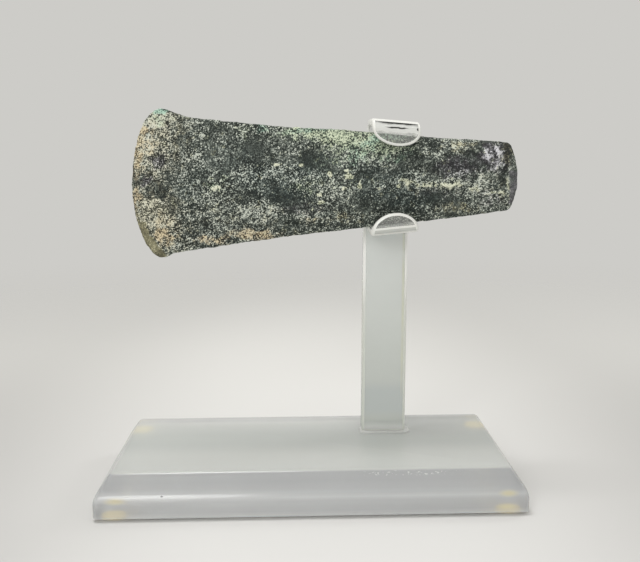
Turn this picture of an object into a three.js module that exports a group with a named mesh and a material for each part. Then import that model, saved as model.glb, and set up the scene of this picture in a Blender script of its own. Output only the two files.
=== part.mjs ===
import * as THREE from 'three';

// A flat bronze axe head with a flared, rounded cutting edge. It rests in a bent acrylic cradle on an
// acrylic post and a bevelled acrylic block with four thin pads under it.
// Millimetres, +Z up, +X along the axe from its cutting edge to its butt, +Y away from the viewer.
// The origin is the middle of the block's footprint, on the surface that the pads stand on.

// Pads under the block
const padRadius = 3.3;
const padThickness = 0.9;
const padInset = 5.9;

// Block
const blockWidth = 130;
const blockDepth = 62.5;
const blockThickness = 12.7;
const blockCornerRadius = 2;
const blockTopCornerRadius = 0.6;
const bevelRun = 4.8;
const bevelDrop = 6.9;
const arrisEase = 0.9;
const topEase = 0.35;
const undersideEase = 0.8;

// Axe head, in its own frame: X from the foremost point of the cutting edge, Z up across the blade
const axeLength = 121.1;
const upperHornReach = 24.3;
const lowerHornReach = 23.8;
const bladeRadius = 50;
const bladeDroop = 1.2;
const bladeCurl = 3;
const bladeCurlPower = 7;
const hornRounding = 2.4;
const flareLength = 46;
const flareRise = 1.5;
const upperLipLength = 12;
const upperLipRise = 2.1;
const lowerLipLength = 5;
const lowerLipRise = 1.6;
const buttWidth = 21.3;
const buttRadius = 27;
const buttRounding = 1.3;
const bellyThickness = 11.4;
const bellyAt = 82;
const shoulderThickness = 2.8;
const cuttingEdgeThickness = 0.6;
const cuttingBevel = 2.6;
const buttThickness = 8.8;
const buttFaceThickness = 5.2;
const buttBevel = 2.5;
const sideShare = 0.46;
const sectionPower = 2.4;

// Where the axe head lies
const bladeFromMiddle = 55.2;
const axeOverBlock = 84;
const axeTilt = THREE.MathUtils.degToRad(0.96);

// Cradle, bent from one strip with half-round ends
const stripWidth = 14.5;
const stripThickness = 2.3;
const bendRadius = 1;
const cradleFromMiddle = 26.4;
const sideClearance = 0.3;
const restClearance = 0.3;
const hookClearance = 1.5;
const upperTab = 7.3;
const lowerTab = 6.6;

// Post
const postWidth = 15.1;
const postThickness = 4.8;
const postHeight = 96;
const postFromMiddle = 24.4;
const postLean = THREE.MathUtils.degToRad(0.5);
const glueGap = 0.3;

const acrylic = new THREE.MeshStandardMaterial({
  color: 0xc9cec9, roughness: 0.18, metalness: 0, transparent: true, opacity: 0.55,
});
const clearAcrylic = new THREE.MeshStandardMaterial({
  color: 0xdfe4e0, roughness: 0.08, metalness: 0, transparent: true, opacity: 0.4,
});
const patinatedBronze = new THREE.MeshStandardMaterial({ color: 0x5f675f, roughness: 0.82, metalness: 0.25 });
const yellowedPad = new THREE.MeshStandardMaterial({ color: 0xc3b98f, roughness: 0.6, metalness: 0 });

// How finely curved stretches are cut into flats
const bladeSteps = 16;
const hornSteps = 6;
const blendSteps = 8;
const sideSteps = 20;
const buttCornerSteps = 3;
const buttSteps = 5;
const blockEdgeSteps = 4;
const blockCornerSteps = 5;
const padSides = 32;
const stripStep = 0.8;

const blockTop = padThickness + blockThickness;

// Collects triangles over shared vertices, leaves out those that shrink to a line, and gives back a
// closed geometry with its faces outward.
class SolidBuilder {
  constructor() {
    this.positions = [];
    this.indices = [];
    this.known = new Map();
  }

  vertex(point) {
    const key = point.toArray().map((value) => Math.round(value * 1e4)).join(' ');
    if (!this.known.has(key)) {
      this.known.set(key, this.positions.length / 3);
      this.positions.push(point.x, point.y, point.z);
    }
    return this.known.get(key);
  }

  triangle(a, b, c) {
    const corners = [this.vertex(a), this.vertex(b), this.vertex(c)];
    if (new Set(corners).size === 3) this.indices.push(...corners);
  }

  quad(a, b, c, d) {
    this.triangle(a, b, c);
    this.triangle(a, c, d);
  }

  // Joins each pair of neighbouring rings, which have equally many points.
  skin(rings) {
    for (let level = 1; level < rings.length; level++) {
      const lower = rings[level - 1];
      const upper = rings[level];
      lower.forEach((point, i) => {
        const next = (i + 1) % lower.length;
        this.quad(point, lower[next], upper[next], upper[i]);
      });
    }
  }

  // Closes a flat ring with a fan about its middle.
  cap(ring, facesBack) {
    const middle = new THREE.Vector3();
    ring.forEach((point) => middle.addScaledVector(point, 1 / ring.length));
    ring.forEach((point, i) => {
      const next = ring[(i + 1) % ring.length];
      if (facesBack) this.triangle(middle, next, point);
      else this.triangle(middle, point, next);
    });
  }

  geometry() {
    const geometry = new THREE.BufferGeometry();
    geometry.setAttribute('position', new THREE.Float32BufferAttribute(this.positions, 3));
    geometry.setIndex(this.indices);
    geometry.computeVertexNormals();
    return geometry;
  }
}

function loft(rings) {
  const solid = new SolidBuilder();
  solid.cap(rings[0], true);
  solid.skin(rings);
  solid.cap(rings[rings.length - 1], false);
  return solid.geometry();
}

function named(name, geometry, material) {
  const mesh = new THREE.Mesh(geometry, material);
  mesh.name = name;
  return mesh;
}

function roundedRectangleRing(width, depth, radius, z) {
  const corners = [[1, 1], [-1, 1], [-1, -1], [1, -1]];
  return corners.flatMap(([sideX, sideY], corner) => {
    const points = [];
    for (let step = 0; step <= blockCornerSteps; step++) {
      const angle = (corner + step / blockCornerSteps) * Math.PI / 2;
      points.push(new THREE.Vector3(
        sideX * (width / 2 - radius) + radius * Math.cos(angle),
        sideY * (depth / 2 - radius) + radius * Math.sin(angle),
        z,
      ));
    }
    return points;
  });
}

// The block's edge in section: X is the distance in from the footprint, Y the height over the underside.
function blockEdgeProfile() {
  const wallTop = blockThickness - bevelDrop;
  const bevelLength = Math.hypot(bevelRun, bevelDrop);
  const arrisShare = arrisEase / bevelLength;
  const topShare = topEase / bevelLength;
  const profile = new THREE.Path();
  profile.moveTo(undersideEase, 0);
  profile.quadraticCurveTo(0, 0, 0, undersideEase);
  profile.lineTo(0, wallTop - arrisEase);
  profile.quadraticCurveTo(0, wallTop, bevelRun * arrisShare, wallTop + bevelDrop * arrisShare);
  profile.lineTo(bevelRun * (1 - topShare), blockThickness - bevelDrop * topShare);
  profile.quadraticCurveTo(bevelRun, blockThickness, bevelRun + topEase, blockThickness);
  return profile.getPoints(blockEdgeSteps);
}

function makeBlock() {
  const rings = blockEdgeProfile().map(({ x: inset, y: height }) => {
    const share = Math.min(inset / bevelRun, 1);
    const radius = THREE.MathUtils.lerp(blockCornerRadius, blockTopCornerRadius, share);
    return roundedRectangleRing(blockWidth - 2 * inset, blockDepth - 2 * inset, radius, height);
  });
  const block = named('base', loft(rings), acrylic);
  block.position.z = padThickness;
  return block;
}

function makePads() {
  const pads = [];
  for (const sideY of [-1, 1]) {
    for (const sideX of [-1, 1]) {
      const disc = new THREE.CylinderGeometry(padRadius, padRadius, padThickness, padSides);
      disc.rotateX(Math.PI / 2);
      const pad = named(`foot_pad_${pads.length + 1}`, disc, yellowedPad);
      pad.position.set(
        sideX * (blockWidth / 2 - padInset),
        sideY * (blockDepth / 2 - padInset),
        padThickness / 2,
      );
      pads.push(pad);
    }
  }
  return pads;
}

// How far the cutting edge has drawn back, at a distance up or down from the axis.
function bladeDrawback(across) {
  const hornReach = across > 0 ? upperHornReach : lowerHornReach;
  const share = Math.min(Math.abs(across) / hornReach, 1);
  return (across + bladeDroop) ** 2 / (2 * bladeRadius) + bladeCurl * share ** bladeCurlPower;
}

function buttDrawback(across) {
  return across * across / (2 * buttRadius);
}

const buttCornerX = axeLength - buttDrawback(buttWidth / 2);

// The upper or lower side of the axe head: a straight taper from the butt, a long soft flare and a short
// lip that runs out to the horn.
class Side {
  constructor(sign, hornReach, lipLength, lipRise) {
    this.sign = sign;
    this.hornReach = hornReach;
    this.lipLength = lipLength;
    this.lipRise = lipRise;
    this.hornX = bladeDrawback(sign * hornReach);
    this.taper = (hornReach - lipRise - flareRise - buttWidth / 2) / (buttCornerX - this.hornX);
  }

  // Distance of the side from the axis.
  reach(along) {
    const fromHorn = along - this.hornX;
    const flare = flareRise * Math.max(1 - fromHorn / flareLength, 0) ** 2;
    const lip = this.lipRise * Math.max(1 - fromHorn / this.lipLength, 0) ** 2;
    return buttWidth / 2 + this.taper * (buttCornerX - along) + flare + lip;
  }

  // The outline from the axis round the horn, along the side and back to the axis.
  outline(spineStart) {
    const hornStart = this.hornReach - hornRounding;
    const sideStart = this.hornX + hornRounding;
    const sideEnd = buttCornerX - buttRounding;
    const buttStart = buttWidth / 2 - buttRounding;
    const onSide = (along) => new THREE.Vector2(along, this.sign * this.reach(along));
    const onBlade = (reach) => new THREE.Vector2(bladeDrawback(this.sign * reach), this.sign * reach);
    const onButt = (reach) => new THREE.Vector2(axeLength - buttDrawback(reach), this.sign * reach);
    const stretch = (steps, curve, from, to) => {
      const points = [];
      for (let step = 1; step <= steps; step++) {
        points.push(curve(THREE.MathUtils.lerp(from, to, step / steps)));
      }
      return points;
    };
    const horn = new THREE.QuadraticBezierCurve(
      onBlade(hornStart), new THREE.Vector2(this.hornX, this.sign * this.hornReach), onSide(sideStart),
    );
    const buttCorner = new THREE.QuadraticBezierCurve(
      onSide(sideEnd), new THREE.Vector2(buttCornerX, this.sign * buttWidth / 2), onButt(buttStart),
    );
    return [
      onBlade(0),
      ...stretch(bladeSteps, onBlade, 0, hornStart),
      ...horn.getPoints(hornSteps).slice(1),
      ...stretch(blendSteps, onSide, sideStart, spineStart),
      ...stretch(sideSteps, onSide, spineStart, sideEnd),
      ...buttCorner.getPoints(buttCornerSteps).slice(1),
      ...stretch(buttSteps, onButt, buttStart, 0),
    ];
  }
}

const upperSide = new Side(1, upperHornReach, upperLipLength, upperLipRise);
const lowerSide = new Side(-1, lowerHornReach, lowerLipLength, lowerLipRise);

// Half the thickness at a point of the axe head's face: a cutting bevel, a long swell to the belly and a
// bevelled butt, thinner towards the sides.
function halfThickness(along, across) {
  const { lerp, clamp } = THREE.MathUtils;
  const reach = clamp(1 - along / axeLength, 0, 1);
  const fromEdge = Math.max(along - bladeDrawback(across) * reach ** 2, 0);
  const fromButt = Math.max(axeLength - buttDrawback(across) - along, 0);
  let thickness = lerp(cuttingEdgeThickness, shoulderThickness, Math.min(fromEdge / cuttingBevel, 1));
  if (fromEdge > cuttingBevel && along <= bellyAt) {
    const climb = clamp((fromEdge - cuttingBevel) / (bellyAt - cuttingBevel), 0, 1);
    thickness = lerp(shoulderThickness, bellyThickness, Math.sin(climb * Math.PI / 2));
  } else if (along > bellyAt) {
    const fall = (along - bellyAt) / (axeLength - bellyAt);
    thickness = lerp(buttThickness, bellyThickness, Math.cos(fall * Math.PI / 2));
  }
  const buttShare = Math.min(fromButt / buttBevel, 1);
  thickness = Math.min(thickness, lerp(buttFaceThickness, thickness, buttShare));
  const side = across > 0 ? upperSide : lowerSide;
  const acrossShare = Math.min(Math.abs(across) / side.reach(clamp(along, side.hornX, buttCornerX)), 1);
  return thickness / 2 * lerp(sideShare, 1, 1 - acrossShare ** sectionPower);
}

// Two faces, each from the outline in to the middle line, joined by the narrow sides.
function makeAxeHead() {
  const spineStart = Math.max(upperSide.hornX, lowerSide.hornX) + upperHornReach / 2;
  const spineEnd = axeLength - buttWidth / 2;
  const upper = upperSide.outline(spineStart);
  const lower = lowerSide.outline(spineStart);
  const outline = [...upper, ...lower.slice(1, -1).reverse()];
  const innerShares = [0.2, 0.36, 0.52, 0.68, 0.84];
  const bevelInset = Math.min(cuttingBevel, buttBevel);
  const clearOfBevel = 1.15;

  function ringAt(insetAt, side) {
    return outline.map((point) => {
      const spine = new THREE.Vector2(THREE.MathUtils.clamp(point.x, spineStart, spineEnd), 0);
      const inner = point.clone().lerp(spine, insetAt(point.distanceTo(spine)));
      return new THREE.Vector3(inner.x, side * halfThickness(inner.x, inner.y), inner.y);
    });
  }

  function faceRings(side) {
    const rim = ringAt(() => 0, side);
    const bevel = ringAt((reach) => bevelInset / reach, side);
    const inner = innerShares.map((share) => (
      ringAt((reach) => Math.max(share, clearOfBevel * bevelInset / reach), side)
    ));
    const spine = ringAt(() => 1, side);
    return [rim, bevel, ...inner, spine];
  }

  const solid = new SolidBuilder();
  const rings = [...faceRings(-1).reverse(), ...faceRings(1)];
  solid.skin(rings);
  const axe = named('axe_head', solid.geometry(), patinatedBronze);
  const seat = new THREE.Group();
  seat.position.set(-bladeFromMiddle, 0, blockTop + axeOverBlock);
  seat.rotation.y = -axeTilt;
  seat.add(axe);
  return seat;
}

// Height over the ground of the axe head's upper or lower side, at a distance from the origin.
function sideHeight(fromMiddle, side) {
  const along = (fromMiddle + bladeFromMiddle) / Math.cos(axeTilt);
  const axis = blockTop + axeOverBlock + along * Math.sin(axeTilt);
  return axis + side.sign * side.reach(along) / Math.cos(axeTilt);
}

// The strip's middle surface in section, from the lower tab's tip round the back to the upper tab's tip.
// X is the distance from the axe's middle plane, Y the height over the ground.
function stripPath(lowerShelf, upperShelf) {
  const bend = bendRadius + stripThickness / 2;
  const plate = bellyThickness / 2 + sideClearance + stripThickness / 2;
  const lowerTip = lowerShelf - stripThickness / 2 + lowerTab;
  const upperTip = upperShelf + stripThickness / 2 - upperTab;
  const path = new THREE.Path();
  path.moveTo(-plate, lowerTip);
  path.lineTo(-plate, lowerShelf + bend);
  path.absarc(-plate + bend, lowerShelf + bend, bend, Math.PI, Math.PI * 1.5, false);
  path.lineTo(plate - bend, lowerShelf);
  path.absarc(plate - bend, lowerShelf + bend, bend, -Math.PI / 2, 0, false);
  path.lineTo(plate, upperShelf - bend);
  path.absarc(plate - bend, upperShelf - bend, bend, 0, Math.PI / 2, false);
  path.lineTo(-plate + bend, upperShelf);
  path.absarc(-plate + bend, upperShelf - bend, bend, Math.PI / 2, Math.PI, false);
  path.lineTo(-plate, upperTip);
  return path;
}

// The shelves turn with the axe's taper, the lower one up and the upper one down towards the butt.
function makeCradle() {
  const halfStrip = stripWidth / 2;
  const lowerTurn = -Math.atan(lowerSide.taper);
  const upperTurn = Math.atan(upperSide.taper);
  const bladeEnd = cradleFromMiddle - halfStrip;
  const shelfInset = restClearance + stripThickness / 2;
  const lowerShelf = sideHeight(bladeEnd, lowerSide) - shelfInset + halfStrip * lowerSide.taper;
  const upperShelf = sideHeight(cradleFromMiddle, upperSide) + hookClearance + stripThickness / 2;
  const path = stripPath(lowerShelf, upperShelf);
  const length = path.getLength();
  const steps = Math.round(length / stripStep);
  const bend = bendRadius + stripThickness / 2;
  const tipCut = 0.06;

  const rings = [];
  for (let step = 0; step <= steps; step++) {
    const share = step / steps;
    const centre = path.getPoint(share);
    const ahead = path.getTangent(share);
    const fromTip = Math.min(share, 1 - share) * length + tipCut;
    const short = Math.max(halfStrip - fromTip, 0);
    const reach = Math.sqrt(halfStrip ** 2 - short ** 2);
    const onPlate = centre.x > 0;
    const climb = (centre.y - lowerShelf - bend) / (upperShelf - lowerShelf - 2 * bend);
    const upness = onPlate ? THREE.MathUtils.clamp(climb, 0, 1) : Math.round(share);
    const pivot = THREE.MathUtils.lerp(lowerShelf, upperShelf, upness);
    const angle = THREE.MathUtils.lerp(lowerTurn, upperTurn, upness);
    const corners = [[-1, -1], [1, -1], [1, 1], [-1, 1]];
    rings.push(corners.map(([sideX, sideOut]) => {
      const out = sideOut * stripThickness / 2;
      const corner = new THREE.Vector3(
        sideX * reach, centre.x + out * ahead.y, centre.y - out * ahead.x - pivot,
      );
      corner.applyAxisAngle(new THREE.Vector3(0, 1, 0), angle);
      corner.z += pivot;
      return corner;
    }));
  }
  const cradle = named('cradle', loft(rings), clearAcrylic);
  cradle.position.x = cradleFromMiddle;
  return cradle;
}

function makePost() {
  const strip = new THREE.BoxGeometry(postWidth, postThickness, postHeight);
  strip.translate(0, postThickness / 2, postHeight / 2);
  const front = bellyThickness / 2 + sideClearance + stripThickness + glueGap;
  const post = named('post', strip, acrylic);
  post.position.set(postFromMiddle, front, blockTop + glueGap);
  post.rotation.y = postLean;
  return post;
}

const axeOnStand = new THREE.Group();
axeOnStand.add(makeAxeHead(), makeCradle(), makePost(), makeBlock(), ...makePads());

export default axeOnStand;
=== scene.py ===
import math

import bmesh
import bpy
import numpy as np
from mathutils import Matrix, Vector, noise


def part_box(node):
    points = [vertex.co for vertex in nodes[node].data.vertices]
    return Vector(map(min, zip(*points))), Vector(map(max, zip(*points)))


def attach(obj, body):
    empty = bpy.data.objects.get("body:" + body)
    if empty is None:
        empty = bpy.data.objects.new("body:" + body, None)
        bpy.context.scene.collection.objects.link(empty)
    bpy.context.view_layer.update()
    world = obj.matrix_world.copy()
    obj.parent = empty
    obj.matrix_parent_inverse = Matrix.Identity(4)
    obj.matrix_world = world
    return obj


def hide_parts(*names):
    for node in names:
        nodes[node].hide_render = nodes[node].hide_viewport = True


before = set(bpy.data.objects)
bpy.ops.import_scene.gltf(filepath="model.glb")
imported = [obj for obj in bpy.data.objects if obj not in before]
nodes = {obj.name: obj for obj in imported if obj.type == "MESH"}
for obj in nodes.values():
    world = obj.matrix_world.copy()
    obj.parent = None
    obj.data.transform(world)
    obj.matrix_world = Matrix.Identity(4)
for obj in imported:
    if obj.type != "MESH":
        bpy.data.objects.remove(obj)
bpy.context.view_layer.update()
mm = 0.001


# Shader recipes

class Wire:
    # A socket that Python's operators can do sums on.
    def __init__(self, recipe, socket):
        self.recipe = recipe
        self.socket = socket

    def sum(self, operation, first, second):
        return self.recipe.node("ShaderNodeMath", {"operation": operation}, {0: first, 1: second})

    def __add__(self, other):
        return self.sum("ADD", self, other)

    def __radd__(self, other):
        return self.sum("ADD", other, self)

    def __sub__(self, other):
        return self.sum("SUBTRACT", self, other)

    def __rsub__(self, other):
        return self.sum("SUBTRACT", other, self)

    def __mul__(self, other):
        return self.sum("MULTIPLY", self, other)

    def __rmul__(self, other):
        return self.sum("MULTIPLY", other, self)

    def __truediv__(self, other):
        return self.sum("DIVIDE", self, other)

    def __pow__(self, other):
        return self.sum("POWER", self, other)


class Recipe:
    # One material and the nodes in it. Places are in millimetres.
    def __init__(self, name):
        self.material = bpy.data.materials.new(name)
        self.material.use_nodes = True
        self.tree = self.material.node_tree
        self.tree.nodes.clear()
        metres = self.node("ShaderNodeTexCoord", out="Object")
        self.place = self.node(
            "ShaderNodeVectorMath", {"operation": "SCALE"}, {0: metres, "Scale": 1 / mm}
        )
        self.x, self.y, self.z = (
            self.node("ShaderNodeSeparateXYZ", {}, {0: self.place}, axis) for axis in "XYZ"
        )

    def node(self, kind, settings=None, sockets=None, out=0):
        made = self.tree.nodes.new(kind)
        for name, value in (settings or {}).items():
            if name == "stops":
                ramp = made.color_ramp
                while len(ramp.elements) < len(value):
                    ramp.elements.new(0.5)
                for element, (position, colour) in zip(ramp.elements, value):
                    element.position = position
                    element.color = colour
            else:
                setattr(made, name, value)
        for key, value in (sockets or {}).items():
            if isinstance(value, Wire):
                self.tree.links.new(value.socket, made.inputs[key])
            else:
                made.inputs[key].default_value = value
        return Wire(self, made.outputs[out])

    def noise(
        self, size, detail=2.0, roughness=0.5, distortion=0.0,
        shift=(0, 0, 0), stretch=(1, 1, 1), turn=0,
    ):
        # size is about how many millimetres a blotch is across
        moved = self.node("ShaderNodeMapping", {"vector_type": "TEXTURE"}, {
            "Vector": self.place,
            "Location": shift,
            "Rotation": (0, math.radians(turn), 0),
            "Scale": stretch,
        })
        return self.node(
            "ShaderNodeTexNoise",
            {"normalize": True},
            {
                "Vector": moved,
                "Scale": 1 / size,
                "Detail": detail,
                "Roughness": roughness,
                "Distortion": distortion,
            },
        )

    def cells(self, size, feature, shift):
        moved = self.node("ShaderNodeMapping", {}, {"Vector": self.place, "Location": shift})
        return self.node(
            "ShaderNodeTexVoronoi", {"feature": feature}, {"Vector": moved, "Scale": 1 / size}
        )

    def rise(self, value, low, high):
        # 0 under low, 1 over high, soft between them
        return self.node(
            "ShaderNodeMapRange",
            {"interpolation_type": "SMOOTHSTEP"},
            {0: value, 1: low, 2: high, 3: 0.0, 4: 1.0},
        )

    def between(self, value, low, full, fading, gone):
        # rises from low to full and falls from fading to gone
        return self.rise(value, low, full) * (1 - self.rise(value, fading, gone))

    def oval(self, x, z, reachX, reachZ, inner, outer, level=None):
        # 1 inside an oval seen from the front, 0 outside. level takes the height's place.
        aside = (self.x - x) / reachX
        above = ((self.z if level is None else level) - z) / reachZ
        return 1 - self.rise((aside * aside + above * above) ** 0.5, inner, outer)

    def limit(self, value):
        return self.node("ShaderNodeClamp", {}, {0: value})

    def attribute(self, name):
        return self.node("ShaderNodeAttribute", {"attribute_name": name}, {}, "Fac")

    def blend(self, factor, first, second):
        return self.node(
            "ShaderNodeMix", {"data_type": "RGBA"}, {0: factor, 6: first, 7: second}, 2
        )

    def ramp(self, value, stops):
        return self.node("ShaderNodeValToRGB", {"stops": stops}, {0: value})

    def bump(self, height, strength, distance):
        return self.node(
            "ShaderNodeBump", {}, {"Height": height, "Strength": strength, "Distance": distance}
        )

    def shader(self, sockets):
        return self.node("ShaderNodeBsdfPrincipled", {}, sockets)

    def finish(self, surface):
        output = self.tree.nodes.new("ShaderNodeOutputMaterial")
        self.tree.links.new(surface.socket, output.inputs["Surface"])
        return self.material


def tint(red, green, blue):
    # a colour as a screen shows it, 0 to 255, made linear
    parts = []
    for value in (red, green, blue):
        share = value / 255
        parts.append(share / 12.92 if share < 0.04045 else ((share + 0.055) / 1.055) ** 2.4)
    return (*parts, 1.0)


# Modelling helpers

def pick(part):
    if bpy.context.object and bpy.context.object.mode != "OBJECT":
        bpy.ops.object.mode_set(mode="OBJECT")
    bpy.ops.object.select_all(action="DESELECT")
    part.select_set(True)
    bpy.context.view_layer.objects.active = part


def applyAll(part):
    pick(part)
    for modifier in list(part.modifiers):
        bpy.ops.object.modifier_apply(modifier=modifier.name)


def settle(part):
    # leaves the object at the origin with its place in its mesh
    pick(part)
    bpy.ops.object.transform_apply(location=True, rotation=True, scale=True)


def selectWhere(part, test, kind="VERT"):
    # in edit mode, selects the vertices, edges or faces whose middle passes the test
    pick(part)
    bpy.ops.object.mode_set(mode="EDIT")
    bpy.ops.mesh.select_mode(type=kind)
    bpy.ops.mesh.select_all(action="DESELECT")
    shape = bmesh.from_edit_mesh(part.data)
    if kind == "VERT":
        for vertex in shape.verts:
            vertex.select = test(vertex.co)
    elif kind == "EDGE":
        for edge in shape.edges:
            edge.select = test(edge.verts[0].co, edge.verts[1].co)
    else:
        for face in shape.faces:
            face.select = test(face.calc_center_median(), face.normal)
    shape.select_flush_mode()
    bmesh.update_edit_mesh(part.data)


def editAll(part):
    pick(part)
    bpy.ops.object.mode_set(mode="EDIT")
    bpy.ops.mesh.select_all(action="SELECT")


def leaveEdit():
    bpy.ops.object.mode_set(mode="OBJECT")


def addCube(name, low, high):
    pick(next(iter(nodes.values())))
    bpy.ops.object.select_all(action="DESELECT")
    middle = (Vector(low) + Vector(high)) / 2
    size = Vector(high) - Vector(low)
    bpy.ops.mesh.primitive_cube_add(size=1, location=middle, scale=size)
    part = bpy.context.object
    part.name = name
    part.data.name = name
    settle(part)
    return part


def wear(part, slot, *materials):
    faces = part.data.polygons
    which = np.zeros(len(faces), np.int32)
    faces.foreach_get("material_index", which)
    part.data.materials.clear()
    for material in materials:
        part.data.materials.append(material)
    faces.foreach_set("material_index", which)
    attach(part, "root")
    return part


# Camera, at the photograph's place

cameraSet = {
    "place": (-3.9, -284.92, 109.75),  # mm
    "down": 8.563,
    "right": 1.504,
    "roll": -0.3976,
    "lens": 50.625,
}


def makeCamera():
    data = bpy.data.cameras.new("camera")
    data.lens = cameraSet["lens"]
    data.sensor_width = 36
    camera = bpy.data.objects.new("camera", data)
    bpy.context.collection.objects.link(camera)
    turn = (
        Matrix.Rotation(-math.radians(cameraSet["right"]), 4, "Z")
        @ Matrix.Rotation(math.pi / 2 - math.radians(cameraSet["down"]), 4, "X")
        @ Matrix.Rotation(math.radians(cameraSet["roll"]), 4, "Z")
    )
    camera.matrix_world = Matrix.Translation(Vector(cameraSet["place"]) * mm) @ turn
    data.clip_start = 0.01
    data.clip_end = 30
    bpy.context.scene.camera = camera


# Floor, backdrop and lights

studioSet = {
    "backdrop": tint(205, 204, 200),
    # painted light and shade: the floor is painted lighter in an oval pool round the stand, and
    # darker in front of it than behind
    "paintedPoolFront": tint(228, 227, 225),
    "paintedPoolBack": tint(236, 235, 232),
    "outerFront": tint(188, 187, 185),
    "outerBack": tint(213, 212, 209),
    "floorRadius": 1200,  # mm
    "paintedPoolMiddle": 4,
    "paintedPoolX": 140,
    "paintedPoolY": 440,
    "paintedPoolFade": (0.2, 1.1),  # shares of the two reaches above
    "behind": (-60, 220),
    "fade": (160, 640),
    # name, place and target (mm), size (mm) and power (W)
    "lights": [
        ("keyLight", (-190, -560, 330), (0, 0, 60), 240, 1.0),
        ("topLight", (-170, 0, 1000), (0, 0, 0), 320, 3.0),
        ("rimLight", (520, 260, 420), (10, 0, 80), 160, 0.5),
    ],
}


def makeFloor():
    bpy.ops.object.select_all(action="DESELECT")
    radius = studioSet["floorRadius"] * mm
    bpy.ops.mesh.primitive_circle_add(vertices=96, radius=radius, fill_type="NGON")
    floor = bpy.context.object
    floor.name = "floor"
    paper = Recipe("floorPaperPaintedPool")
    far = (paper.x * paper.x + paper.y * paper.y) ** 0.5
    fade = paper.rise(far, *studioSet["fade"])
    # painted pool of light: lighter in an oval round the stand and behind it, darker towards the
    # edge and in front
    across = (paper.x - studioSet["paintedPoolMiddle"]) / studioSet["paintedPoolX"]
    along = paper.y / studioSet["paintedPoolY"]
    outer = paper.rise((across * across + along * along) ** 0.5, *studioSet["paintedPoolFade"])
    behind = paper.rise(paper.y, *studioSet["behind"])
    middle = paper.blend(behind, studioSet["paintedPoolFront"], studioSet["paintedPoolBack"])
    edge = paper.blend(behind, studioSet["outerFront"], studioSet["outerBack"])
    matte = paper.shader({
        "Base Color": paper.blend(outer, middle, edge),
        "Roughness": 0.9,
        "Specular IOR Level": 0.1,
    })
    clear = paper.node("ShaderNodeBsdfTransparent")
    mixed = paper.node("ShaderNodeMixShader", {}, {0: fade, 1: matte, 2: clear})
    floor.data.materials.append(paper.finish(mixed))


def addArea(name, place, target, size, power):
    data = bpy.data.lights.new(name, "AREA")
    data.shape = "DISK"
    data.size = size * mm
    data.energy = power
    light = bpy.data.objects.new(name, data)
    bpy.context.collection.objects.link(light)
    light.location = Vector(place) * mm
    aim = (Vector(target) - Vector(place)).normalized()
    light.rotation_euler = aim.to_track_quat("-Z", "Y").to_euler()


def makeStudio():
    scene = bpy.context.scene
    scene.view_settings.view_transform = "Standard"
    world = bpy.data.worlds.new("studio")
    world.use_nodes = True
    world.node_tree.nodes["Background"].inputs["Color"].default_value = studioSet["backdrop"]
    scene.world = world
    for light in studioSet["lights"]:
        addArea(*light)
    makeFloor()


# Axe head

axeSet = {
    "voxel": 0.36,  # mm
    "evenOut": 6,
    "swell": (16.0, 0.55),  # size and height of each layer of relief, mm
    "crust": (2.6, 0.34),
    "pits": (1.7, 0.3),
    "grain": (0.8, 0.16),
    "crustRise": 0.45,
    "ridgeRise": 0.8,
    "spotRise": 0.25,
}


def addRelief(axe, kind, size, height, middle, depth=2):
    texture = bpy.data.textures.new("relief", kind)
    texture.noise_scale = size * mm
    if kind == "CLOUDS":
        texture.noise_depth = depth
    layer = axe.modifiers.new("relief", "DISPLACE")
    layer.texture = texture
    layer.texture_coords = "LOCAL"
    layer.strength = height * mm
    layer.mid_level = middle


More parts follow.
